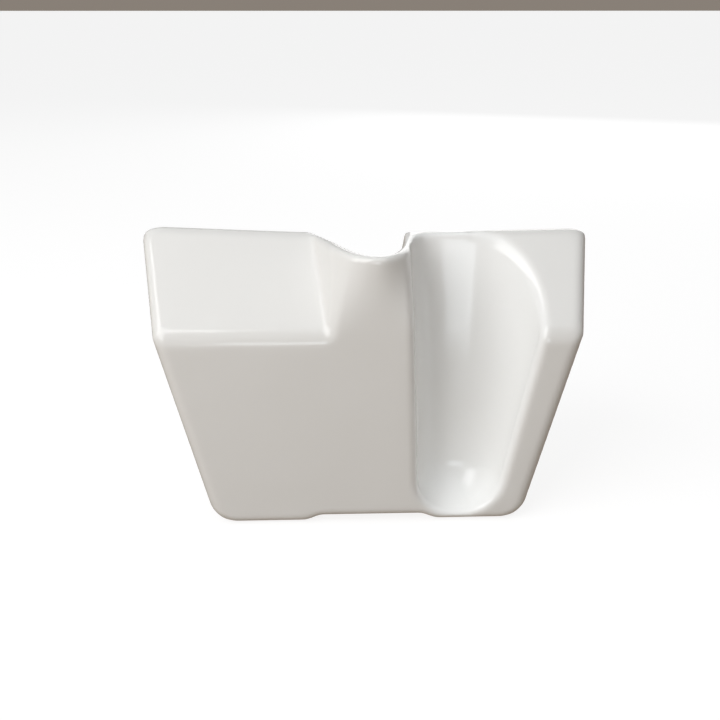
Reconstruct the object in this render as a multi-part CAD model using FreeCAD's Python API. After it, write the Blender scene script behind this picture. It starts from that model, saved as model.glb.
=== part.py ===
"""Toast rack: a hollow, glazed ceramic wave that stands on four small pads.

Seen from above, the rim of the ware winds like an S. On the right it swings to the
back round an upright flute that opens to the front, and left of that flute it swings
forward round a nose, so a second flute opens to the back. A slice of toast stands on
edge in each flute. The ware is cast hollow, so its base has a pour hole with a
stopper, and the pads sit in shallow sockets of the foot.

Millimetres. +X is to the right, +Y to the back and +Z up. The pads stand on z = 0,
and the origin is under the middle of the ware.
"""
import FreeCAD, Part
import math
import os

V = FreeCAD.Vector

# Overall size of the ware
ROOF_WIDTH = 154.2        # along the rim, between its ends before they are rounded
BASE_WIDTH = 108.0        # where it stands
DEPTH = 64.6              # front face to back face
HEIGHT = 95.6             # table to the rim in the middle, where it is lowest
LEFT_RISE = 2.8           # how much higher the rim is at its left end
RIGHT_RISE = 1.1          # and at its right end
SHOULDER_HEIGHT = 69.8    # table to the line where the upright faces turn into slopes

# Ceramic
WALL = 3.6                # the cast wall, and the rim's width
SHOULDER_ROUND = 8.0      # front and back shoulders
END_ROUND = 5.0           # upright edges of the two ends
FOOT_ROUND = 2.0          # front and back edges of the foot

# Front flute
FRONT_RIM_LEFT = 13.3     # left wall at the rim
FRONT_RIM_RIGHT = 60.5    # right wall at the rim, in the plane of the front face
FRONT_RIM_DEEPEST = 29.5  # where it is deepest at the rim
FRONT_FLOOR_LEFT = 17.2   # left wall at the floor
FRONT_FLOOR_RIGHT = 45.0  # right wall at the floor
RIM_BEHIND = 2.8          # rim left standing behind this flute
RIM_BETWEEN = 1.8         # rim left standing between this flute and the back one

# Both flutes
FLOOR_DEPTH = 14.8        # how far in they reach at the floor
FRONT_FLOOR = 3.8         # table to the front flute's floor
BACK_FLOOR = 7.0          # and to the back one's, which lies over the raised underside
FLOOR_SCOOP = 9.0         # round between floor and walls

# Nose of the rim, in front of the back flute
NOSE_CENTRE = 2.7         # its foremost point
NOSE_LEFT = -9.7          # where its round meets the left facet, at the rim
LEFT_CURL = 0.042         # its round, as millimetres back per square millimetre across
RIGHT_CURL = 0.085
FACET_ROOT = -19.5        # left facet meets the straight rim here
FACET_FOOT = -13.2        # left facet runs out here, at the shoulder

# Back flute
BACK_RIM_LEFT = -46.0     # left wall at the rim, in the plane of the back face
BACK_FLOOR_LEFT = -36.0   # left wall at the floor
BACK_FLOOR_RIGHT = 3.0    # right wall at the floor
BACK_RIGHT_FLARE = 4.5    # how far the right wall runs to the right on its way back

# Underside and pads
ARCH_LEFT = -16.0         # the underside is raised between these
ARCH_RIGHT = 17.5
ARCH_RISE = 2.0
ARCH_RAMP = 7.0           # run of the slope at each side of the raised part
PAD_DIAMETER = 10.0
PAD_THICKNESS = 1.5
PAD_STAND = 0.5           # how far a pad stands out of its socket
PAD_CLEARANCE = 0.15      # round a pad in its socket
PAD_X = 40.0              # from the middle of the ware
PAD_Y = 20.0

# Pour hole and stopper
HOLE_DIAMETER = 12.0
STEM_CLEARANCE = 0.1      # round the stopper's stem
FLANGE_DIAMETER = 17.0
FLANGE_THICKNESS = 1.2
BARB_OVERHANG = 0.8       # how far the stopper's barb reaches over the wall
BARB_HEIGHT = 3.0
BARB_TIP_DIAMETER = 10.0
STOPPER_BORE = 7.0        # blind hole that lets the barb fold in
STOPPER_FLOOR = 1.8       # what is left under that hole

# Values that follow
HALF_DEPTH = DEPTH / 2
BASE_Z = PAD_STAND                      # underside of the ceramic feet
ARCH_Z = BASE_Z + ARCH_RISE             # underside of the raised part
CAVITY_Z = ARCH_Z + WALL                # floor of the hollow
SLOPE_RUN = HALF_DEPTH - WALL / 2
BEYOND = 12.0                           # how far a cutting solid runs past the ware
SECTION_POINTS = 13                     # points of a flute's curved section
PAST_RIM = 1.05                         # share of a flute's height that its cut reaches
ROUND_POWER = 2.2                       # superellipse power of a flute's round side
STEEP_POWER = 3.6                       # and of its steep side, at the rim


def end_x(z, inset=0.0):
    """Half width of the ware at height z, with both ends moved in by inset."""
    lean = (ROOF_WIDTH - BASE_WIDTH) / 2 / (HEIGHT - BASE_Z)
    return BASE_WIDTH / 2 + lean * (z - BASE_Z) - inset * math.hypot(1.0, lean)


def prism(points, along):
    """Solid with a closed outline of points, extruded along a vector."""
    wire = Part.makePolygon(points + points[:1])
    return Part.Face(wire).extrude(along)


def rim_z(x):
    """Height of the rim, which rises from the middle of the ware to each end."""
    rise = LEFT_RISE if x < 0 else RIGHT_RISE
    return HEIGHT + rise * abs(x) / (ROOF_WIDTH / 2)


def house(x, inset, floor):
    """Outline of the ware's cross-section at x, with a sharp ridge, moved in by inset."""
    face = HALF_DEPTH - inset
    slope = (rim_z(x) - SHOULDER_HEIGHT) / SLOPE_RUN
    shoulder = SHOULDER_HEIGHT - inset * (math.hypot(1.0, slope) - slope)
    return [V(x, -face, floor), V(x, -face, shoulder), V(x, 0, shoulder + face * slope),
            V(x, face, shoulder), V(x, face, floor), V(x, -face, floor)]


def block(inset=0.0, floor=BASE_Z):
    """House-shaped bar with leaning ends and a sharp ridge, its faces moved in by inset."""
    reach = ROOF_WIDTH / 2 + WALL
    outlines = [Part.makePolygon(house(x, inset, floor)) for x in (-reach, 0.0, reach)]
    bar = Part.makeLoft(outlines, True, True)
    above = 2 * HEIGHT
    low, high = end_x(floor, inset), end_x(above, inset)
    ends = [V(-low, -DEPTH, floor), V(-high, -DEPTH, above),
            V(high, -DEPTH, above), V(low, -DEPTH, floor)]
    return bar.common(prism(ends, V(0, 2 * DEPTH, 0)))


def below_rim():
    """Everything under the rim's own plane on each side of the middle."""
    reach = ROOF_WIDTH
    points = [V(-reach, -DEPTH, -BEYOND), V(-reach, -DEPTH, rim_z(-reach)),
              V(0, -DEPTH, HEIGHT), V(reach, -DEPTH, rim_z(reach)),
              V(reach, -DEPTH, -BEYOND)]
    return prism(points, V(0, 2 * DEPTH, 0))


def edges_where(shape, test):
    """Edges of a shape whose two ends and middle all pass a test."""
    chosen = []
    for edge in shape.Edges:
        first, last = edge.FirstParameter, edge.LastParameter
        if all(test(edge.valueAt(t)) for t in (first, (first + last) / 2, last)):
            chosen.append(edge)
    return chosen


def near(a, b):
    """Whether two lengths are the same."""
    return abs(a - b) < 0.01


def rounded_block():
    """The block with its shoulders, ends and foot rounded."""
    solid = block()
    shoulders = edges_where(solid, lambda p: near(p.z, SHOULDER_HEIGHT)
                            and near(abs(p.y), HALF_DEPTH))
    solid = solid.makeFillet(SHOULDER_ROUND, shoulders)
    ends = edges_where(solid, lambda p: near(abs(p.x), end_x(p.z)))
    rising = [edge for edge in ends if edge.BoundBox.ZMax > BASE_Z + 0.01]
    solid = solid.makeFillet(END_ROUND, rising)
    return solid.makeFillet(FOOT_ROUND, edges_where(solid, lambda p: near(p.z, BASE_Z)))


def curve(points):
    """Edge that runs smoothly through points."""
    spline = Part.BSplineCurve()
    spline.interpolate(points)
    return spline.toShape()


def mix(first, second, share):
    """Value at a share of the way from first to second, which runs on past share 1."""
    return first + (second - first) * share


def closed(curves, corners):
    """Wire of curves and of the straight edges through corners."""
    return Part.Wire(curves + Part.makePolygon(corners).Edges)


def half_superellipse(left, middle, right, depth, square):
    """Points of a flute's outline, as across and depth, from its left end to its right.

    Two quarters of |x|^n + |y|^n = 1 meet at the middle, where the flute is deepest. The
    left one has the power n = square, and the right one is round.
    """
    points = []
    for k in range(SECTION_POINTS):
        turn = math.pi * k / (SECTION_POINTS - 1)
        across, inward = -math.cos(turn), math.sin(turn)
        power = 2 / (square if across < 0 else ROUND_POWER)
        reach = middle - left if across < 0 else right - middle
        x = middle + math.copysign(abs(across) ** power, across) * reach
        points.append((x, depth * abs(inward) ** power))
    return points


def grown(points, grow):
    """Outline moved out by grow, along its own normals; it runs clockwise from above."""
    moved = []
    for k, point in enumerate(points):
        run = points[min(k + 1, len(points) - 1)] - points[max(k - 1, 0)]
        run.z = 0
        run.normalize()
        moved.append(point + V(-run.y, run.x, 0) * grow)
    return moved


def flute(outline, bottom, outer, grow):
    """Solid that cuts a flute, or that also takes a wall of thickness grow round it.

    outline(share) gives the points of its section, at a share of the way from its bottom
    to the rim. The section runs straight out to y = outer, and the floor is scooped.
    """
    lowest = -grow / (HEIGHT - bottom)
    sections = []
    for share in (lowest, 0.5, PAST_RIM):
        points = grown(outline(share), grow)
        ends = [V(point.x, outer, point.z) for point in (points[-1], points[0])]
        sections.append(closed([curve(points)], [points[-1]] + ends + [points[0]]))
    solid = Part.makeLoft(sections, True, False)
    floor = edges_where(solid, lambda p: near(p.z, bottom - grow))
    scoop = [edge for edge in floor if not near(edge.CenterOfMass.y, outer)]
    return solid.makeFillet(FLOOR_SCOOP, scoop)


def front_outline(share):
    """Points of the front flute's section, from left to right."""
    z = mix(FRONT_FLOOR, HEIGHT, share)
    left = mix(FRONT_FLOOR_LEFT, FRONT_RIM_LEFT, share)
    right = mix(FRONT_FLOOR_RIGHT, FRONT_RIM_RIGHT, share)
    middle = mix((FRONT_FLOOR_LEFT + FRONT_FLOOR_RIGHT) / 2, FRONT_RIM_DEEPEST, share)
    depth = mix(FLOOR_DEPTH, HALF_DEPTH + WALL / 2 - RIM_BEHIND, share)
    square = mix(ROUND_POWER, STEEP_POWER, share)
    return [V(x, y - HALF_DEPTH, z)
            for x, y in half_superellipse(left, middle, right, depth, square)]


def front_flute(grow=0.0):
    """The flute that opens to the front."""
    return flute(front_outline, FRONT_FLOOR, -HALF_DEPTH - BEYOND, grow)


def nose_y(x, share):
    """Front of the nose at x, flat at the shoulder (share 0) and round at the rim."""
    curl = LEFT_CURL if x < NOSE_CENTRE else RIGHT_CURL
    return -HALF_DEPTH + curl * share * share * (x - NOSE_CENTRE) ** 2


def nose_section(share):
    """Closed outline of the nose at a share of the way from the shoulder to the rim."""
    z = mix(SHOULDER_HEIGHT, HEIGHT, share)
    left = mix(FACET_FOOT, NOSE_LEFT, share)
    rim_run = V(NOSE_LEFT - FACET_ROOT, nose_y(NOSE_LEFT, 1), 0)
    back = nose_y(left, share) * rim_run.x / rim_run.y
    xs = [mix(left, FRONT_RIM_LEFT + WALL, k / 8) for k in range(9)]
    points = [V(x, nose_y(x, share), z) for x in xs]
    return closed([curve(points)], [points[-1], V(points[-1].x, 0, z),
                                    V(left - back, 0, z), points[0]])


def nose():
    """The part of the ware that fills out the slope to the front, up to the rim."""
    upper = Part.makeLoft([nose_section(share) for share in (0.0, 0.35, 0.7, PAST_RIM)],
                          True, False)
    foot = Part.Face(nose_section(0.0)).extrude(V(0, 0, -SHOULDER_ROUND))
    return upper.fuse(foot)


def back_rim():
    """Points of the back flute's section at the rim, from its right end to its left.

    It lies a wall's thickness inside the front flute, the nose and the nose's left facet,
    and opens out to the back from that facet's root on.
    """
    facet = V(NOSE_LEFT - FACET_ROOT, nose_y(NOSE_LEFT, 1), 0).normalize()
    inside = V(-facet.y, facet.x, 0) * WALL
    right = V(FRONT_RIM_LEFT - RIM_BETWEEN, nose_y(FRONT_RIM_LEFT, 1) + WALL / 2, 0)
    tip = V(NOSE_CENTRE, -HALF_DEPTH + WALL, 0)
    left = V(NOSE_LEFT, nose_y(NOSE_LEFT, 1), 0) + inside
    root = V(FACET_ROOT, 0, 0) + inside
    opening = V(BACK_RIM_LEFT, HALF_DEPTH, 0)
    start = V(right.x + BACK_RIGHT_FLARE, HALF_DEPTH, 0)
    straight = [start + (right - start) * (k / 3) for k in range(3)]
    turn = Part.Arc(right, tip, left).toShape().discretize(5)
    facet_middle = [(left + root) / 2]
    flare = [root + (opening - root) * (k / 3) for k in range(4)]
    return straight + turn + facet_middle + flare


def back_floor():
    """Points of the back flute's section at its floor, from its right end to its left."""
    middle = (BACK_FLOOR_LEFT + BACK_FLOOR_RIGHT) / 2
    outline = half_superellipse(BACK_FLOOR_LEFT, middle, BACK_FLOOR_RIGHT, FLOOR_DEPTH,
                                ROUND_POWER)
    return [V(x, HALF_DEPTH - y, 0) for x, y in reversed(outline)]


def back_outline(share):
    """Points of the back flute's section, from right to left."""
    z = V(0, 0, mix(BACK_FLOOR, HEIGHT, share))
    return [low + (high - low) * share + z for low, high in zip(back_floor(), back_rim())]


def back_flute(grow=0.0):
    """The flute that opens to the back."""
    return flute(back_outline, BACK_FLOOR, HALF_DEPTH + BEYOND, grow)


def cavity():
    """The hollow of the cast ware: a wall inside every outer face and both flutes."""
    hollow = block(WALL, CAVITY_Z)
    for flute in (front_flute(WALL), back_flute(WALL)):
        hollow = hollow.cut(flute)
    return hollow


def arch():
    """Flat channel under the ware, between its two feet."""
    low, high = BASE_Z - BEYOND, ARCH_Z
    ramp = ARCH_RAMP
    points = [V(ARCH_LEFT - ramp, -DEPTH, BASE_Z), V(ARCH_LEFT, -DEPTH, high),
              V(ARCH_RIGHT, -DEPTH, high), V(ARCH_RIGHT + ramp, -DEPTH, BASE_Z),
              V(ARCH_RIGHT + ramp, -DEPTH, low), V(ARCH_LEFT - ramp, -DEPTH, low)]
    return prism(points, V(0, 2 * DEPTH, 0))


def cylinder(diameter, low, high, x=0.0, y=0.0):
    """Upright cylinder between two heights."""
    return Part.makeCylinder(diameter / 2, high - low, V(x, y, low))


def pad_places():
    """Name and place across X and Y of each pad."""
    return {side + "_" + end: (x, y)
            for side, y in (("front", -PAD_Y), ("back", PAD_Y))
            for end, x in (("left", -PAD_X), ("right", PAD_X))}


def rack_shell():
    """The glazed ceramic ware: outer form, less flutes, hollow, arch, hole and sockets."""
    form = rounded_block().fuse(nose()).common(below_rim())
    form = form.cut(front_flute()).cut(back_flute()).cut(arch())
    ware = form.cut(cavity())
    ware = ware.cut(cylinder(HOLE_DIAMETER, ARCH_Z - BEYOND, CAVITY_Z + BEYOND))
    for x, y in pad_places().values():
        ware = ware.cut(cylinder(PAD_DIAMETER + 2 * PAD_CLEARANCE, BASE_Z - BEYOND,
                                 PAD_THICKNESS, x, y))
    return ware


def stopper():
    """Soft stopper of the pour hole: a flange below, a stem and a barb that snaps in."""
    flange = cylinder(FLANGE_DIAMETER, ARCH_Z - FLANGE_THICKNESS, ARCH_Z)
    stem = cylinder(HOLE_DIAMETER - 2 * STEM_CLEARANCE, ARCH_Z, CAVITY_Z)
    barb = Part.makeCone(HOLE_DIAMETER / 2 + BARB_OVERHANG, BARB_TIP_DIAMETER / 2,
                         BARB_HEIGHT, V(0, 0, CAVITY_Z))
    bore = cylinder(STOPPER_BORE, ARCH_Z - FLANGE_THICKNESS + STOPPER_FLOOR,
                    CAVITY_Z + BARB_HEIGHT + BEYOND)
    return flange.fuse([stem, barb]).removeSplitter().cut(bore)


def pad(x, y):
    """Round anti-slip pad, glued into its socket."""
    disc = cylinder(PAD_DIAMETER, 0, PAD_THICKNESS, x, y)
    rim = [edge for edge in disc.Edges if edge.Closed and edge.BoundBox.ZMax < 0.01]
    return disc.makeFillet(PAD_STAND / 2, rim)


def main():
    os.makedirs("parts", exist_ok=True)
    nodes = {"rack_shell": rack_shell(), "pour_hole_stopper": stopper()}
    for name, place in pad_places().items():
        nodes["foot_pad_" + name] = pad(*place)
    for name, shape in nodes.items():
        print(name, shape.isValid(), len(shape.Solids), round(shape.Volume, 1))
        shape.exportStep("parts/" + name + ".step")


main()
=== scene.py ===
# %% [markdown]
# # A cast ceramic toast rack
#
# The rack is one hollow casting in white clay under a glossy white glaze. Its rim winds
# like a wave: it swings to the back round a flute that opens to the front, and to the
# front round a nose, behind which a second flute opens to the back.
#
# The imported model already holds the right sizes. What it lacks is the look of glaze,
# which rounds every edge by a different amount, so the casting is made again here.

# %% Load the frame
import math

import bpy
import numpy as np
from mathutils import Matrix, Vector


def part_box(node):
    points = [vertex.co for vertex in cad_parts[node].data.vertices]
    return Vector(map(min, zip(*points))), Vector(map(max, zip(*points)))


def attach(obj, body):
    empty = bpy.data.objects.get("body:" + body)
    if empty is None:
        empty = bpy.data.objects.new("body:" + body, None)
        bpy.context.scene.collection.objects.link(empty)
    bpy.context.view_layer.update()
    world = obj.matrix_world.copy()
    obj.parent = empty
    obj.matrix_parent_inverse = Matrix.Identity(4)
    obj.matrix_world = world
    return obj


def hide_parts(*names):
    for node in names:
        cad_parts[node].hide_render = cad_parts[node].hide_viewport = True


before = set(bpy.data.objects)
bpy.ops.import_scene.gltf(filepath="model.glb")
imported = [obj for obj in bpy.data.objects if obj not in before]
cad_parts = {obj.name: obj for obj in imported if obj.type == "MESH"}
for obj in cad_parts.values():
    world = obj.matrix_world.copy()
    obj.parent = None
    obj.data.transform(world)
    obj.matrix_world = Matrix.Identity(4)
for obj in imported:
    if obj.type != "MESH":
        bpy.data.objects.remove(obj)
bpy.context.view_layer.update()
MM = 0.001
low, high = (np.array(corner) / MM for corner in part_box("rack_shell"))
print("ware from", low.round(2), "to", high.round(2), "mm")

# %% [markdown]
# ## A solid as a number at every point
#
# A casting with soft edges could be modelled by pushing a box about, or by bevelling
# planes. Bevels of different widths that run into each other are hard to keep clean.
# Here the solid is a field instead: a function that is negative inside the clay,
# positive in the air and nought on the surface. Each plain face is a plane's signed
# distance, and faces are joined by a maximum that is rounded where two of them meet.

# %% Joining distances with a round edge
def both(a, b, r):
    """Inside a and inside b: the greater distance, with an edge of size r rounded off.

    Where a and b both lie above -r, the value is sqrt((a + r)^2 + (b + r)^2) - r, whose
    zero line is a quarter circle that leaves each face smoothly.
    """
    corner = np.hypot(np.maximum(a + r, 0), np.maximum(b + r, 0))
    return np.minimum(np.maximum(a, b), -r) + corner


def either(a, b, r):
    """Inside a or inside b, with the hollow corner between them filled to size r."""
    return -both(-a, -b, r)


def plane(p, point, normal):
    """Signed distance from a plane through point, positive on the normal's side."""
    n = np.asarray(normal, float)
    return (p - np.asarray(point, float)) @ (n / np.linalg.norm(n))


def plane_through(p, a, b, c, outside):
    """Signed distance from the plane through a, b and c, positive towards outside."""
    a, b, c, outside = (np.asarray(q, float) for q in (a, b, c, outside))
    n = np.cross(b - a, c - a)
    return plane(p, a, n * np.sign(n @ (outside - a)))


def mix(first, second, share):
    """Value at a share of the way from first to second."""
    return first + (second - first) * share


def smooth_step(x, start, end):
    """0 before start, 1 after end, and 3 t^2 - 2 t^3 between them."""
    t = np.clip((x - start) / (end - start), 0, 1)
    return t * t * (3 - 2 * t)


# %% [markdown]
# ## The block
#
# The outside is a house-shaped bar: upright front and back faces, a slope from each
# shoulder up to the rim, and two ends that lean outwards. The sizes come from the frame
# where its box gives them.

# %% Sizes of the block
INSIDE_BOX = 0.05         # kept free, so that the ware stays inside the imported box
HALF_DEPTH = high[1] - INSIDE_BOX
BASE = low[2]
TOP = 95.6                # the rim in the middle, where it is lowest
LEFT_RISE = 2.8           # how much higher the rim is at its left end
RIGHT_RISE = 1.1          # and at its right end
SHOULDER = 69.8
RIM_HALF = 1.8
BASE_HALF = 54.0
ROOF_HALF = 76.4
SHOULDER_ROUND = 2.9
END_ROUND = 4.5
FOOT_ROUND = 2.6
FOOT_CORNER = 6.5
RIM_ROUND = 1.7
LEFT_CORNER = 5.2
RIGHT_CORNER = 3.6
CORNER_REACH = 8.0        # how far in from an end its corners start to round


def rim_height(x):
    """Height of the rim, which sags gently from both ends to the middle.

    The rise is h * t^2 * (2 - t) with t = |x| / half width, so it starts level at the
    middle and climbs evenly near the ends.
    """
    t = np.abs(x) / ROOF_HALF
    return TOP + np.where(x < 0, LEFT_RISE, RIGHT_RISE) * t * t * (2 - t)


def slope_distance(p, side):
    """Distance above the slope on one side: -1 is the front, +1 the back."""
    run, rise = HALF_DEPTH - RIM_HALF, rim_height(p[:, 0]) - SHOULDER
    reach = side * p[:, 1] - HALF_DEPTH
    return (reach * rise + (p[:, 2] - SHOULDER) * run) / np.hypot(run, rise)


def ends_distance(p):
    """Distance outside the nearer leaning end."""
    lean = (ROOF_HALF - BASE_HALF) / (TOP - BASE)
    half = BASE_HALF + lean * (p[:, 2] - BASE)
    return (np.abs(p[:, 0]) - half) / math.hypot(1, lean)


# %% [markdown]
# ## The nose and its facet
#
# Left of the front flute the rim comes forward. The front face runs on up to the rim
# there, curling back more and more to each side of the nose. A flat facet joins it to
# the left slope along a sharp inside crease.

# %% Sizes of the nose
NOSE_X = 2.7
NOSE_LEFT_CURL = 0.050
NOSE_RIGHT_CURL = 0.085
CURL_END = 14.0
FACET_RIM = (-19.5, 0.0)
FACET_NOSE = (-9.7, -25.9)
FACET_FOOT = -13.2
FACET_CREASE = 1.2
IN_FLUTE = 35.0           # the nose stops here, in the front flute's air
ABOVE_RIM = 1.1           # shares of a height run a little past the rim
LEFT_OUTSIDE = -60.0      # x of a point left of every wall of the flutes


def curled_back(x, share):
    """How far the nose's face lies behind its foremost line, and how fast that grows."""
    away = np.clip(x - NOSE_X, -CURL_END, CURL_END)
    curl = np.where(away < 0, NOSE_LEFT_CURL, NOSE_RIGHT_CURL) * (x < IN_FLUTE)
    return curl * (away * share) ** 2, 2 * curl * np.abs(away) * share ** 2


def nose_distance(p):
    """Distance in front of the front face, which curls back round the nose.

    The face is y = -half depth + curl * (x - nose)^2 * share^2, where share runs from 0
    at the shoulder to 1 at the rim.
    """
    share = np.clip((p[:, 2] - SHOULDER) / (TOP - SHOULDER), 0, ABOVE_RIM)
    back, steep = curled_back(p[:, 0], share)
    return (-HALF_DEPTH + back - p[:, 1]) / np.hypot(1, steep)


def facet_distance(p):
    """Distance left of the facet that joins the nose to the left slope."""
    facet = plane_through(p, (*FACET_RIM, TOP), (*FACET_NOSE, TOP),
                          (FACET_FOOT, -HALF_DEPTH, SHOULDER),
                          (LEFT_OUTSIDE, -HALF_DEPTH, TOP))
    return np.where(p[:, 0] < IN_FLUTE, facet, HALF_DEPTH)


def front_distance(p):
    """Distance outside everything that faces the front, before the flute is cut."""
    roof = either(slope_distance(p, -1), facet_distance(p), FACET_CREASE)
    return both(nose_distance(p), roof, SHOULDER_ROUND)


# %% [markdown]
# ## The front flute
#
# The front flute is a chute that a slice of toast leans in. It could be a box cut out
# and bevelled, but its walls are never flat. Here each level section is half of a
# superellipse, |x|^n + |y|^n = 1, deeper and wider towards the rim, and squarer on its
# steep left side.

# %% Sizes of the front flute
FLOOR = 3.4
FLUTE_SCOOP = 12.0
FRONT_LEFT = (17.1, 13.3)
FRONT_RIGHT = (43.5, 60.5)
FRONT_DEEPEST = (30.5, 29.5)
FRONT_DEPTH = (14.8, 31.1)
FRONT_LEFT_POWER = (2.2, 3.6)
FRONT_RIGHT_POWER = 2.3
LIP_ROUND = 2.6
THIN_LIP_ROUND = 1.2      # on the thin wall between the two flutes
BELOW_FLOOR = -0.05       # shares of a flute's height start a little below its floor
PROBE = 0.05              # how far to each side a field's steepness is measured
LEAST_STEEPNESS = 1e-3


def to_distance(p, field):
    """A field made into a distance near its surface, by dividing it by its steepness."""
    value = field(p)
    rise = [field(p + PROBE * axis) - field(p - PROBE * axis) for axis in np.eye(3)]
    steepness = np.sqrt(sum(r * r for r in rise)) / (2 * PROBE)
    return value / np.maximum(steepness, LEAST_STEEPNESS)


def front_flute_field(p):
    """(|x| / a)^n + (y / b)^n to the power 1 / n, less 1, in the flute's own widths."""
    x, y, z = p.T
    share = np.clip((z - FLOOR) / (TOP - FLOOR), BELOW_FLOOR, ABOVE_RIM)
    deepest = mix(*FRONT_DEEPEST, share)
    across = x - deepest
    half = np.where(across < 0, deepest - mix(*FRONT_LEFT, share),
                    mix(*FRONT_RIGHT, share) - deepest)
    power = np.where(across < 0, mix(*FRONT_LEFT_POWER, share), FRONT_RIGHT_POWER)
    inward = np.maximum(y + HALF_DEPTH, 0) / mix(*FRONT_DEPTH, share)
    return ((np.abs(across) / half) ** power + inward ** power) ** (1 / power) - 1


def front_flute(p):
    """Distance outside the front flute's air, with a scooped floor."""
    return both(to_distance(p, front_flute_field), FLOOR - p[:, 2], FLUTE_SCOOP)


# %% [markdown]
# ## The back flute
#
# The second slice stands behind the nose. Its flute's left walls and right wall are
# flat, the first of them a wall's thickness behind the nose's facet. The wall in front
# follows the curl of the nose, so the clay is equally thick all along the nose's rim.

# %% Sizes of the back flute
WALL = 3.6
BACK_RIGHT = (3.0, 11.6)
BACK_RIGHT_FLARE = 4.5    # how far the right wall runs to the right on its way back
BACK_FRONT = (17.0, -HALF_DEPTH + WALL)
BACK_FACET_FLOOR = (-27.0, 17.0)
BACK_FLARE_RIM = (-46.0, HALF_DEPTH)
BACK_FLARE_FLOOR = (-36.0, HALF_DEPTH)
BACK_ROUND = 6.0
BACK_CREASE = 7.0
BACK_FLOOR = 7.0          # higher than in front, as the underside is raised below it
BACK_BELOW_FLOOR = -0.1
RIGHT_RIM_DEPTH = -20.0   # y of the right wall's front corner at the rim
RIGHT_OUTSIDE = 60.0      # x of a point right of the back flute


def back_flute(p):
    """Distance outside the back flute's air: the greatest of its walls' distances."""
    x, y, z = p.T
    along = np.array(FACET_NOSE) - np.array(FACET_RIM)
    along /= np.hypot(*along)
    inside = np.array([-along[1], along[0]]) * WALL
    rim, nose = np.array(FACET_RIM) + inside, np.array(FACET_NOSE) + inside
    left = plane_through(p, (*rim, TOP), (*nose, TOP), (*BACK_FACET_FLOOR, FLOOR),
                         (LEFT_OUTSIDE, -HALF_DEPTH, TOP))
    flare = plane_through(p, (*rim, TOP), (*BACK_FLARE_RIM, TOP),
                          (*BACK_FLARE_FLOOR, FLOOR), (LEFT_OUTSIDE, -HALF_DEPTH, TOP))
    right = plane_through(p, (BACK_RIGHT[1], RIGHT_RIM_DEPTH, TOP),
                          (BACK_RIGHT[1] + BACK_RIGHT_FLARE, HALF_DEPTH, TOP),
                          (BACK_RIGHT[0], BACK_FRONT[0], FLOOR), (RIGHT_OUTSIDE, 0, TOP))
    share = np.clip((z - FLOOR) / (TOP - FLOOR), BACK_BELOW_FLOOR, ABOVE_RIM)
    back, steep = curled_back(x, share)
    lean = (BACK_FRONT[1] - BACK_FRONT[0]) / (TOP - FLOOR)
    front = (mix(*BACK_FRONT, share) + back - y) / np.sqrt(1 + steep ** 2 + lean ** 2)
    walls = both(either(left, flare, BACK_CREASE), right, BACK_ROUND)
    walls = both(walls, front, BACK_ROUND)
    return both(walls, BACK_FLOOR - z, FLUTE_SCOOP)


# %% [markdown]
# ## The whole ware
#
# The outer form is all of these joined, and cut off where the rim is. The underside is
# raised between two feet. Inside, the casting is hollow, with a pour hole in its base,
# and each foot has two shallow sockets for the pads.

# %% Underside, hollow and sockets
ARCH = (-16.0, 17.5)
ARCH_RISE = 2.0
ARCH_RAMP = 7.0
HOLE_RADIUS = 6.0
SOCKET_GAP = 0.15
SOCKET_ROOF = 1.5
HOLE_ROOF = 10.0          # above the base, well inside the hollow
HOLE_ROUND = 0.4
SOCKET_ROUND = 0.2
THIN_WALL = (4.0, 10.0)   # the x over which the back flute's lip turns thin
HOLLOW_ROUND = 3.0
HOLLOW_FLOOR_ROUND = 2.0


def underside_distance(p):
    """Distance below the underside, which rises smoothly between the feet."""
    x, z = p[:, 0], p[:, 2]
    raised = smooth_step(x, ARCH[0] - ARCH_RAMP, ARCH[0])
    raised = raised * (1 - smooth_step(x, ARCH[1], ARCH[1] + ARCH_RAMP))
    return BASE + ARCH_RISE * raised - z


def round_hole(p, centre, radius, roof):
    """Distance outside an upright round hole that runs from below up to a roof."""
    out = np.hypot(p[:, 0] - centre[0], p[:, 1] - centre[1]) - radius
    return np.maximum(out, p[:, 2] - roof)


def outer_form(p):
    """Distance outside the ware's outer form."""
    back = both(p[:, 1] - HALF_DEPTH, slope_distance(p, 1), SHOULDER_ROUND)
    form = np.maximum(front_distance(p), back)
    ends = ends_distance(p)
    at_end = smooth_step(ends, -CORNER_REACH, 0)
    form = both(form, ends, END_ROUND)
    form = both(form, underside_distance(p), mix(FOOT_ROUND, FOOT_CORNER, at_end))
    form = both(form, -front_flute(p), LIP_ROUND)
    thin = smooth_step(p[:, 0], *THIN_WALL)
    form = both(form, -back_flute(p), mix(LIP_ROUND, THIN_LIP_ROUND, thin))
    corner = np.where(p[:, 0] < 0, LEFT_CORNER, RIGHT_CORNER)
    above = p[:, 2] - rim_height(p[:, 0])
    return both(form, above, mix(RIM_ROUND, corner, at_end))


def hollow(p):
    """Distance outside the hollow: a wall's thickness inside every outer face."""
    form = np.maximum(both(-HALF_DEPTH - p[:, 1], slope_distance(p, -1), SHOULDER_ROUND),
                      both(p[:, 1] - HALF_DEPTH, slope_distance(p, 1), SHOULDER_ROUND))
    form = both(form, ends_distance(p), END_ROUND) + WALL
    form = both(form, WALL - front_flute(p), HOLLOW_ROUND)
    form = both(form, WALL - back_flute(p), HOLLOW_ROUND)
    return both(form, BASE + ARCH_RISE + WALL - p[:, 2], HOLLOW_FLOOR_ROUND)


PADS = [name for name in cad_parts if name.startswith("foot_pad")]
pad_boxes = {name: [np.array(corner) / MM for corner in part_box(name)] for name in PADS}


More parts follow.
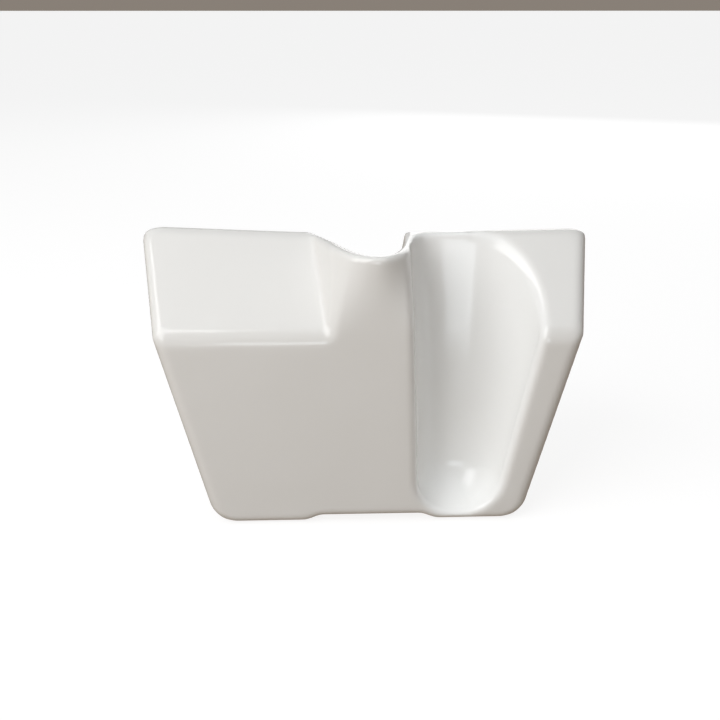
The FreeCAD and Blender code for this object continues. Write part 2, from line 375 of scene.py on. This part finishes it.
def ware(p):
    """Distance outside the clay: the outer form less the hollow, hole and sockets."""
    clay = np.maximum(outer_form(p), -hollow(p))
    pour_hole = round_hole(p, (0, 0), HOLE_RADIUS, BASE + HOLE_ROOF)
    clay = both(clay, -pour_hole, HOLE_ROUND)
    for pad_low, pad_high in pad_boxes.values():
        middle = (pad_low + pad_high)[:2] / 2
        radius = (pad_high - pad_low)[0] / 2 + SOCKET_GAP
        clay = both(clay, -round_hole(p, middle, radius, SOCKET_ROOF), SOCKET_ROUND)
    return clay


# %% [markdown]
# ## From field to mesh
#
# The field is sampled on a grid of small cubes. Each cube that the surface passes
# through gets one vertex, at the mean of the places where the surface crosses its edges,
# and each grid edge that it crosses gets one four-sided face.

# %% Sampling the field
CELL = 1.1


def sample(field, start, counts, cell):
    """Values of the field on a grid, worked out one layer of x at a time."""
    axes = [start[k] + cell * np.arange(counts[k]) for k in range(3)]
    y, z = (g.ravel() for g in np.meshgrid(axes[1], axes[2], indexing="ij"))
    layers = [field(np.column_stack([np.full(y.size, x), y, z])) for x in axes[0]]
    return np.array(layers).reshape(counts)


# %% Surface nets, as whole arrays
def surface_net(values, start, cell):
    """Vertices and quads of the surface where values is nought."""
    inside = values < 0
    corners = [(i, j, k) for i in (0, 1) for j in (0, 1) for k in (0, 1)]

    def shifted(array, corner):
        window = tuple(slice(c, c + n - 1) for c, n in zip(corner, array.shape))
        return array[window]

    total = np.zeros([n - 1 for n in values.shape] + [3])
    crossings = np.zeros(total.shape[:3])
    for a in corners:
        for axis in range(3):
            if a[axis] == 0:
                b = tuple(c + (k == axis) for k, c in enumerate(a))
                va, vb = shifted(values, a), shifted(values, b)
                cross = (va < 0) != (vb < 0)
                t = np.where(cross, va / np.where(cross, va - vb, 1), 0)
                place = np.array(a, float) + t[..., None] * np.eye(3)[axis]
                total += place * cross[..., None]
                crossings += cross
    used = crossings > 0
    number = np.full(used.shape, -1)
    number[used] = np.arange(used.sum())
    cells = np.argwhere(used)
    vertices = start + cell * (cells + total[used] / crossings[used][:, None])
    quads = []
    for axis in range(3):
        first, second = (axis + 1) % 3, (axis + 2) % 3
        ahead = np.roll(inside, -1, axis)
        cross = inside != ahead
        edge = [slice(1, -1)] * 3
        edge[axis] = slice(0, -1)
        at = np.argwhere(cross[tuple(edge)])
        at += [0 if k == axis else 1 for k in range(3)]
        ring = []
        for back in ((0, 0), (1, 0), (1, 1), (0, 1)):
            cell_at = at.copy()
            cell_at[:, first] -= back[0]
            cell_at[:, second] -= back[1]
            ring.append(number[tuple(cell_at.T)])
        ring = np.array(ring).T
        outward = inside[tuple(at.T)]
        ring[~outward] = ring[~outward][:, ::-1]
        quads.append(ring)
    return vertices, np.concatenate(quads)


# %% [markdown]
# ## Settling the vertices
#
# The net's vertices lie near the surface but not on it, and its faces are uneven. So
# each vertex slides down the field's slope until it lies on the surface, and between
# slides it is drawn towards its neighbours.

# %% Slope, settling and evening out
NEAR = 0.02               # how far to each side the slope is measured
LEAST_SQUARE = 0.05       # of the slope, so that a flat spot sends no vertex away


def gradient(field, p):
    """Slope of the field at each point."""
    rise = [field(p + NEAR * axis) - field(p - NEAR * axis) for axis in np.eye(3)]
    return np.array(rise).T / (2 * NEAR)


def settle(field, p, rounds, limit):
    """Points moved onto the surface, each by at most limit a round."""
    for _ in range(rounds):
        slope_here = gradient(field, p)
        square = np.maximum((slope_here ** 2).sum(1), LEAST_SQUARE)
        move = -(field(p) / square)[:, None] * slope_here
        length = np.linalg.norm(move, axis=1)[:, None]
        p = p + move * np.minimum(1, limit / np.maximum(length, 1e-9))
    return p


def relaxed(p, quads):
    """Each vertex moved half of the way to the mean of its quads' neighbours."""
    total, count = np.zeros_like(p), np.zeros(len(p))
    for a, b in ((0, 1), (1, 2), (2, 3), (3, 0)):
        for here, there in ((quads[:, a], quads[:, b]), (quads[:, b], quads[:, a])):
            count += np.bincount(here, minlength=len(p))
            for k in range(3):
                total[:, k] += np.bincount(here, p[there, k], minlength=len(p))
    return mix(p, total / count[:, None], 0.5)


# %% The ware's mesh
FLUTE_LIGHT_EDGE = 2.5           # how far past a flute's lip the flutes' painted light reaches
MARGIN = 2.3 * CELL       # of air round the ware in the grid
SETTLE_ROUNDS = 3
EVENING_ROUNDS = 2


def mesh_object(name, vertices, quads):
    """Smooth-shaded object at the origin, from points in millimetres and quads."""
    mesh = bpy.data.meshes.new(name)
    mesh.from_pydata(vertices * MM, [], quads.tolist())
    mesh.shade_smooth()
    piece = bpy.data.objects.new(name, mesh)
    bpy.context.scene.collection.objects.link(piece)
    return piece


start = low - MARGIN
counts = [int(n) for n in np.ceil((high - low + 2 * MARGIN) / CELL)]
points, faces = surface_net(sample(ware, start, counts, CELL), start, CELL)
points = settle(ware, points, SETTLE_ROUNDS, CELL / 2)
for _ in range(EVENING_ROUNDS):
    points = settle(ware, relaxed(points, faces), 2, CELL / 2)
print("ware:", len(points), "vertices,", len(faces), "quads,",
      "from", points.min(0).round(2), "to", points.max(0).round(2))
shell = mesh_object("glazed_ware", points, faces)
# Painted light: each vertex's share of the flutes' whiter, cooler colour, fading out past
# their lips.
nearest_flute = np.minimum(front_flute(points), back_flute(points))
flute_painted_light = shell.data.attributes.new("flute_painted_light", "FLOAT", "POINT")
flute_painted_light.data.foreach_set("value", 1 - smooth_step(nearest_flute, 0, FLUTE_LIGHT_EDGE))
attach(shell, "root")
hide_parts("rack_shell")

# %% [markdown]
# ## White glaze
#
# The ware is dipped in a tin-white glaze and fired. Its colour is painted whiter and
# cooler inside the flutes, as painted light for the light they bounce and reflect, and
# creamier and darker on the outer faces, as painted shade with a painted warm reflection
# of the table. A painted map could show that, but it would have seams. Here the mesh
# carries one number a vertex, worked out from its distance to the flutes, and noise in
# object space adds what firing leaves: a faint mottle, slow waves, a few pinholes, and a
# bare line of clay where the foot was wiped before firing.

# %% Helpers for materials
def new_material(name):
    """Node material and its shader."""
    material = bpy.data.materials.new(name)
    material.use_nodes = True
    return material, material.node_tree.nodes["Principled BSDF"]


def add_node(material, kind, settings=None, inputs=None):
    """New node of a material or the world, with its settings and fixed inputs set."""
    node = material.node_tree.nodes.new(kind)
    for key, value in (settings or {}).items():
        setattr(node, key, value)
    for key, value in (inputs or {}).items():
        node.inputs[key].default_value = value
    return node


def connect(material, *pairs):
    """Each pair's output joined to its input."""
    for output, entry in pairs:
        material.node_tree.links.new(output, entry)


def noise(material, coords, scale, detail=2.0):
    """Noise in object space, with scale as waves a metre."""
    node = add_node(material, "ShaderNodeTexNoise",
                    inputs={"Scale": scale, "Detail": detail, "Roughness": 0.5})
    connect(material, (coords.outputs["Object"], node.inputs["Vector"]))
    return node.outputs["Fac"]


def spread(material, value, start, end, low_value, high_value):
    """A value's range from start to end mapped to low_value to high_value, smoothly."""
    node = add_node(material, "ShaderNodeMapRange", {"interpolation_type": "SMOOTHSTEP"},
                    {"From Min": start, "From Max": end, "To Min": low_value,
                     "To Max": high_value})
    connect(material, (value, node.inputs["Value"]))
    return node.outputs["Result"]


def combine(material, operation, first, second):
    """Two values, sockets or numbers, put through one sum."""
    node = add_node(material, "ShaderNodeMath", {"operation": operation})
    for entry, value in zip(node.inputs, (first, second)):
        if isinstance(value, (int, float)):
            entry.default_value = value
        else:
            connect(material, (value, entry))
    return node.outputs["Value"]


def blend(material, share, first, second):
    """Colour that goes from first to second with share."""
    node = add_node(material, "ShaderNodeMix", {"data_type": "RGBA"})
    for entry, value in ((node.inputs[6], first), (node.inputs[7], second)):
        if isinstance(value, tuple):
            entry.default_value = value
        else:
            connect(material, (value, entry))
    connect(material, (share, node.inputs["Factor"]))
    return node.outputs[2]


def raise_bumps(material, height, distance):
    """Normal of a surface raised by height times distance, in metres."""
    node = add_node(material, "ShaderNodeBump",
                    inputs={"Distance": distance, "Strength": 1.0})
    connect(material, (height, node.inputs["Height"]))
    return node.outputs["Normal"]


# %% White glaze
# Painted shade and light: the first pair is the outer faces' darker, creamier colour, with
# a painted warm reflection; the second pair is the flutes' whiter colour, painted light.
OUTER_SHADED_GLAZE = (0.828, 0.822, 0.800, 1), (0.838, 0.832, 0.810, 1)
FLUTE_LIT_GLAZE = (0.930, 0.936, 0.926, 1), (0.940, 0.946, 0.936, 1)
PINHOLE_COLOUR = (0.52, 0.50, 0.45, 1)
PINHOLES_A_METRE = 95.0
PINHOLE_SIZE = (0.020, 0.045)     # in cells of their pattern, centre to edge
PINHOLE_SINK = -0.35              # against the height of the waves
BARE_CLAY = (0.78, 0.75, 0.69, 1)
BARE_ROUGHNESS = 0.75
WIPED_TO = (0.0014, 0.0019)       # metres above the table, clay to glaze
WIPE_WOBBLE = 0.0006              # metres
GLOSS = (0.13, 0.15)              # roughness of the glaze
WAVE_HEIGHT = 0.00035             # metres

glaze, shader = new_material("white_glaze")
coords = add_node(glaze, "ShaderNodeTexCoord")
place = add_node(glaze, "ShaderNodeSeparateXYZ")
connect(glaze, (coords.outputs["Object"], place.inputs["Vector"]))
pinholes = add_node(glaze, "ShaderNodeTexVoronoi", {"feature": "F1"},
                    {"Scale": PINHOLES_A_METRE})
connect(glaze, (coords.outputs["Object"], pinholes.inputs["Vector"]))
few = spread(glaze, noise(glaze, coords, 60.0), 0.60, 0.66, 0.0, 1.0)
hole = combine(glaze, "MULTIPLY", few,
               spread(glaze, pinholes.outputs["Distance"], *PINHOLE_SIZE, 1.0, 0.0))
mottle = spread(glaze, noise(glaze, coords, 22.0, 3.0), 0.2, 0.8, 0.0, 1.0)
# The first blend is the outer faces' painted shade, the second the flutes' painted light,
# and the vertex share below mixes them.
thin = blend(glaze, mottle, *OUTER_SHADED_GLAZE)
flute_lit = blend(glaze, mottle, *FLUTE_LIT_GLAZE)
flute_light_share = add_node(glaze, "ShaderNodeAttribute", {"attribute_name": "flute_painted_light"})
white = blend(glaze, flute_light_share.outputs["Fac"], thin, flute_lit)
speckled = blend(glaze, hole, white, PINHOLE_COLOUR)
foot_line = combine(glaze, "ADD", place.outputs["Z"],
                    combine(glaze, "MULTIPLY", noise(glaze, coords, 180.0),
                            WIPE_WOBBLE))
bare = spread(glaze, foot_line, *WIPED_TO, 1.0, 0.0)
skin = blend(glaze, bare, speckled, BARE_CLAY)
gloss = combine(glaze, "MAXIMUM", spread(glaze, mottle, 0.0, 1.0, *GLOSS),
                combine(glaze, "MULTIPLY", bare, BARE_ROUGHNESS))
waves = combine(glaze, "ADD", noise(glaze, coords, 45.0, 1.0),
                combine(glaze, "MULTIPLY", hole, PINHOLE_SINK))
connect(glaze, (skin, shader.inputs["Base Color"]), (gloss, shader.inputs["Roughness"]),
        (raise_bumps(glaze, waves, WAVE_HEIGHT), shader.inputs["Normal"]))
shader.inputs["IOR"].default_value = 1.5
shell.data.materials.append(glaze)
print("white_glaze:", len(glaze.node_tree.nodes), "nodes")

# %% [markdown]
# ## Pads and stopper
#
# The four pads are punched out of foam rubber sheet, and the stopper is moulded in
# silicone. Neither is seen when the rack stands, so their shapes stay as packed and
# only the finish is added: fine open cells on the pads, and a cloudy, slightly
# see-through body with the mould's soft grain on the stopper.

# %% Foam pads
def dress(name, material):
    """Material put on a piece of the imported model."""
    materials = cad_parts[name].data.materials
    materials.clear()
    materials.append(material)


FOAM_CELLS_A_METRE = 1800.0
FOAM_COLOURS = (0.30, 0.30, 0.29, 1), (0.44, 0.44, 0.43, 1)
FOAM_GRAIN = 0.0002
foam, foam_shader = new_material("pad_rubber")
coords = add_node(foam, "ShaderNodeTexCoord")
cells = add_node(foam, "ShaderNodeTexVoronoi", {"feature": "F1"},
                 {"Scale": FOAM_CELLS_A_METRE})
connect(foam, (coords.outputs["Object"], cells.inputs["Vector"]))
tint = blend(foam, cells.outputs["Distance"], *FOAM_COLOURS)
connect(foam, (tint, foam_shader.inputs["Base Color"]),
        (raise_bumps(foam, cells.outputs["Distance"], FOAM_GRAIN),
         foam_shader.inputs["Normal"]))
foam_shader.inputs["Roughness"].default_value = 0.85
for name in PADS:
    dress(name, foam)

# %% The silicone stopper
SILICONE_COLOURS = (0.74, 0.74, 0.71, 1), (0.84, 0.84, 0.82, 1)
SILICONE_ROUGHNESS = (0.38, 0.55)
MOULD_GRAIN = 0.00005
silicone, silicone_shader = new_material("soft_silicone")
coords = add_node(silicone, "ShaderNodeTexCoord")
cloud = noise(silicone, coords, 260.0, 3.0)
tint = blend(silicone, cloud, *SILICONE_COLOURS)
connect(silicone, (tint, silicone_shader.inputs["Base Color"]),
        (spread(silicone, cloud, 0.3, 0.7, *SILICONE_ROUGHNESS),
         silicone_shader.inputs["Roughness"]),
        (raise_bumps(silicone, noise(silicone, coords, 2600.0), MOULD_GRAIN),
         silicone_shader.inputs["Normal"]))
silicone_shader.inputs["Subsurface Weight"].default_value = 0.3
silicone_shader.inputs["Subsurface Radius"].default_value = (0.002, 0.002, 0.002)
dress("pour_hole_stopper", silicone)
print("finished:", ", ".join(PADS), "and pour_hole_stopper")

# %% [markdown]
# ## Floor
#
# The rack stands on a pale floor, as goods do in a shop window. A grey floor under
# strong light would throw light up at the ware's foot, which would flatten its form. So
# the floor glows by itself, and is kept out of the ware's reflections and of the light
# that surfaces throw at each other.

# %% Floor
FLOOR_SIZE = 60.0
FLOOR_DROP = 0.0001       # below the pads' faces, so that the two don't flicker
FLOOR_GLOW = 0.84

bpy.ops.mesh.primitive_plane_add(size=FLOOR_SIZE)
floor = bpy.context.object
floor.name = "floor"
floor.location.z = -FLOOR_DROP
paper, paper_shader = new_material("floor_paper")
paper_shader.inputs["Base Color"].default_value = (0.22, 0.22, 0.22, 1)
paper_shader.inputs["Roughness"].default_value = 0.9
paper_shader.inputs["Specular IOR Level"].default_value = 0.0
paper_shader.inputs["Emission Color"].default_value = (1, 1, 1, 1)
paper_shader.inputs["Emission Strength"].default_value = FLOOR_GLOW
floor.data.materials.append(paper)
floor.visible_diffuse = False
floor.visible_glossy = False

# %% [markdown]
# ## The room
#
# A glossy ware shows its surroundings, so an even grey world would look like plastic.
# A room could be modelled, but a world that turns from warm below the horizon to cool
# above it is enough for soft reflections.

# %% The room
ROOM_BELOW = (0.24, 0.18, 0.125, 1)
ROOM_ABOVE = (0.26, 0.27, 0.28, 1)

world = bpy.data.worlds.new("studio")
world.use_nodes = True
direction = add_node(world, "ShaderNodeTexCoord")
split = add_node(world, "ShaderNodeSeparateXYZ")
height = add_node(world, "ShaderNodeMath", {"operation": "MULTIPLY_ADD"}, {1: 0.5, 2: 0.5})
ramp = add_node(world, "ShaderNodeValToRGB")
background = world.node_tree.nodes["Background"]
connect(world, (direction.outputs["Generated"], split.inputs["Vector"]),
        (split.outputs["Z"], height.inputs[0]),
        (height.outputs["Value"], ramp.inputs["Fac"]),
        (ramp.outputs["Color"], background.inputs["Color"]))
below, above = ramp.color_ramp.elements
below.position, below.color = 0.25, ROOM_BELOW
above.position, above.color = 0.9, ROOM_ABOVE
bpy.context.scene.world = world
bpy.context.scene.view_settings.view_transform = "Standard"

# %% [markdown]
# ## Lights
#
# One large soft window, high on the left, models the form. A cool panel in front puts
# long, soft reflections in the flute, a weak ceiling light opens the shadows, and a
# fill from behind lights the far side.

# %% Lights
LIT_POINT = Vector((0, 0, 0.05))


def area_light(name, place, size, watts, colour=(1, 1, 1)):
    """Rectangular light at a place, facing the middle of the rack."""
    data = bpy.data.lights.new(name, "AREA")
    data.shape = "RECTANGLE"
    data.size, data.size_y = size
    data.energy = watts
    data.color = colour
    lamp = bpy.data.objects.new(name, data)
    bpy.context.scene.collection.objects.link(lamp)
    lamp.location = place
    towards = LIT_POINT - lamp.location
    lamp.rotation_euler = towards.to_track_quat("-Z", "Y").to_euler()
    print("light:", name, watts, "W")


area_light("window", place=(-0.52, -0.44, 0.58), size=(0.70, 0.70), watts=5.6)
area_light("sky_panel", place=(0.02, -1.30, 0.17), size=(0.50, 0.26), watts=1.5,
           colour=(0.88, 0.95, 1.0))
area_light("ceiling", place=(0.05, -0.35, 1.10), size=(0.8, 0.8), watts=1.3)
area_light("back_fill", place=(0.35, 1.00, 0.45), size=(0.7, 0.7), watts=3.0)

# %% [markdown]
# ## Camera
#
# The camera stands close, above the rim and a little left of the middle. It looks down
# and slightly to the right, through a lens of normal length, about as long as the
# diagonal of a full film frame.

# %% Camera
CAMERA_PLACE = (-0.0115, -0.2898, 0.1677)
CAMERA_TILT = 67.63       # degrees up from straight down
CAMERA_TURN = -1.84       # degrees, less than nought to the right
LENS = 43.1
FILM_WIDTH = 36

camera_data = bpy.data.cameras.new("camera")
camera = bpy.data.objects.new("camera", camera_data)
bpy.context.scene.collection.objects.link(camera)
camera.location = CAMERA_PLACE
camera.rotation_euler = (math.radians(CAMERA_TILT), 0, math.radians(CAMERA_TURN))
camera_data.sensor_width = FILM_WIDTH
camera_data.lens = LENS
camera_data.clip_start = 0.01
bpy.context.scene.camera = camera
print("camera:", LENS, "mm lens at", CAMERA_PLACE)
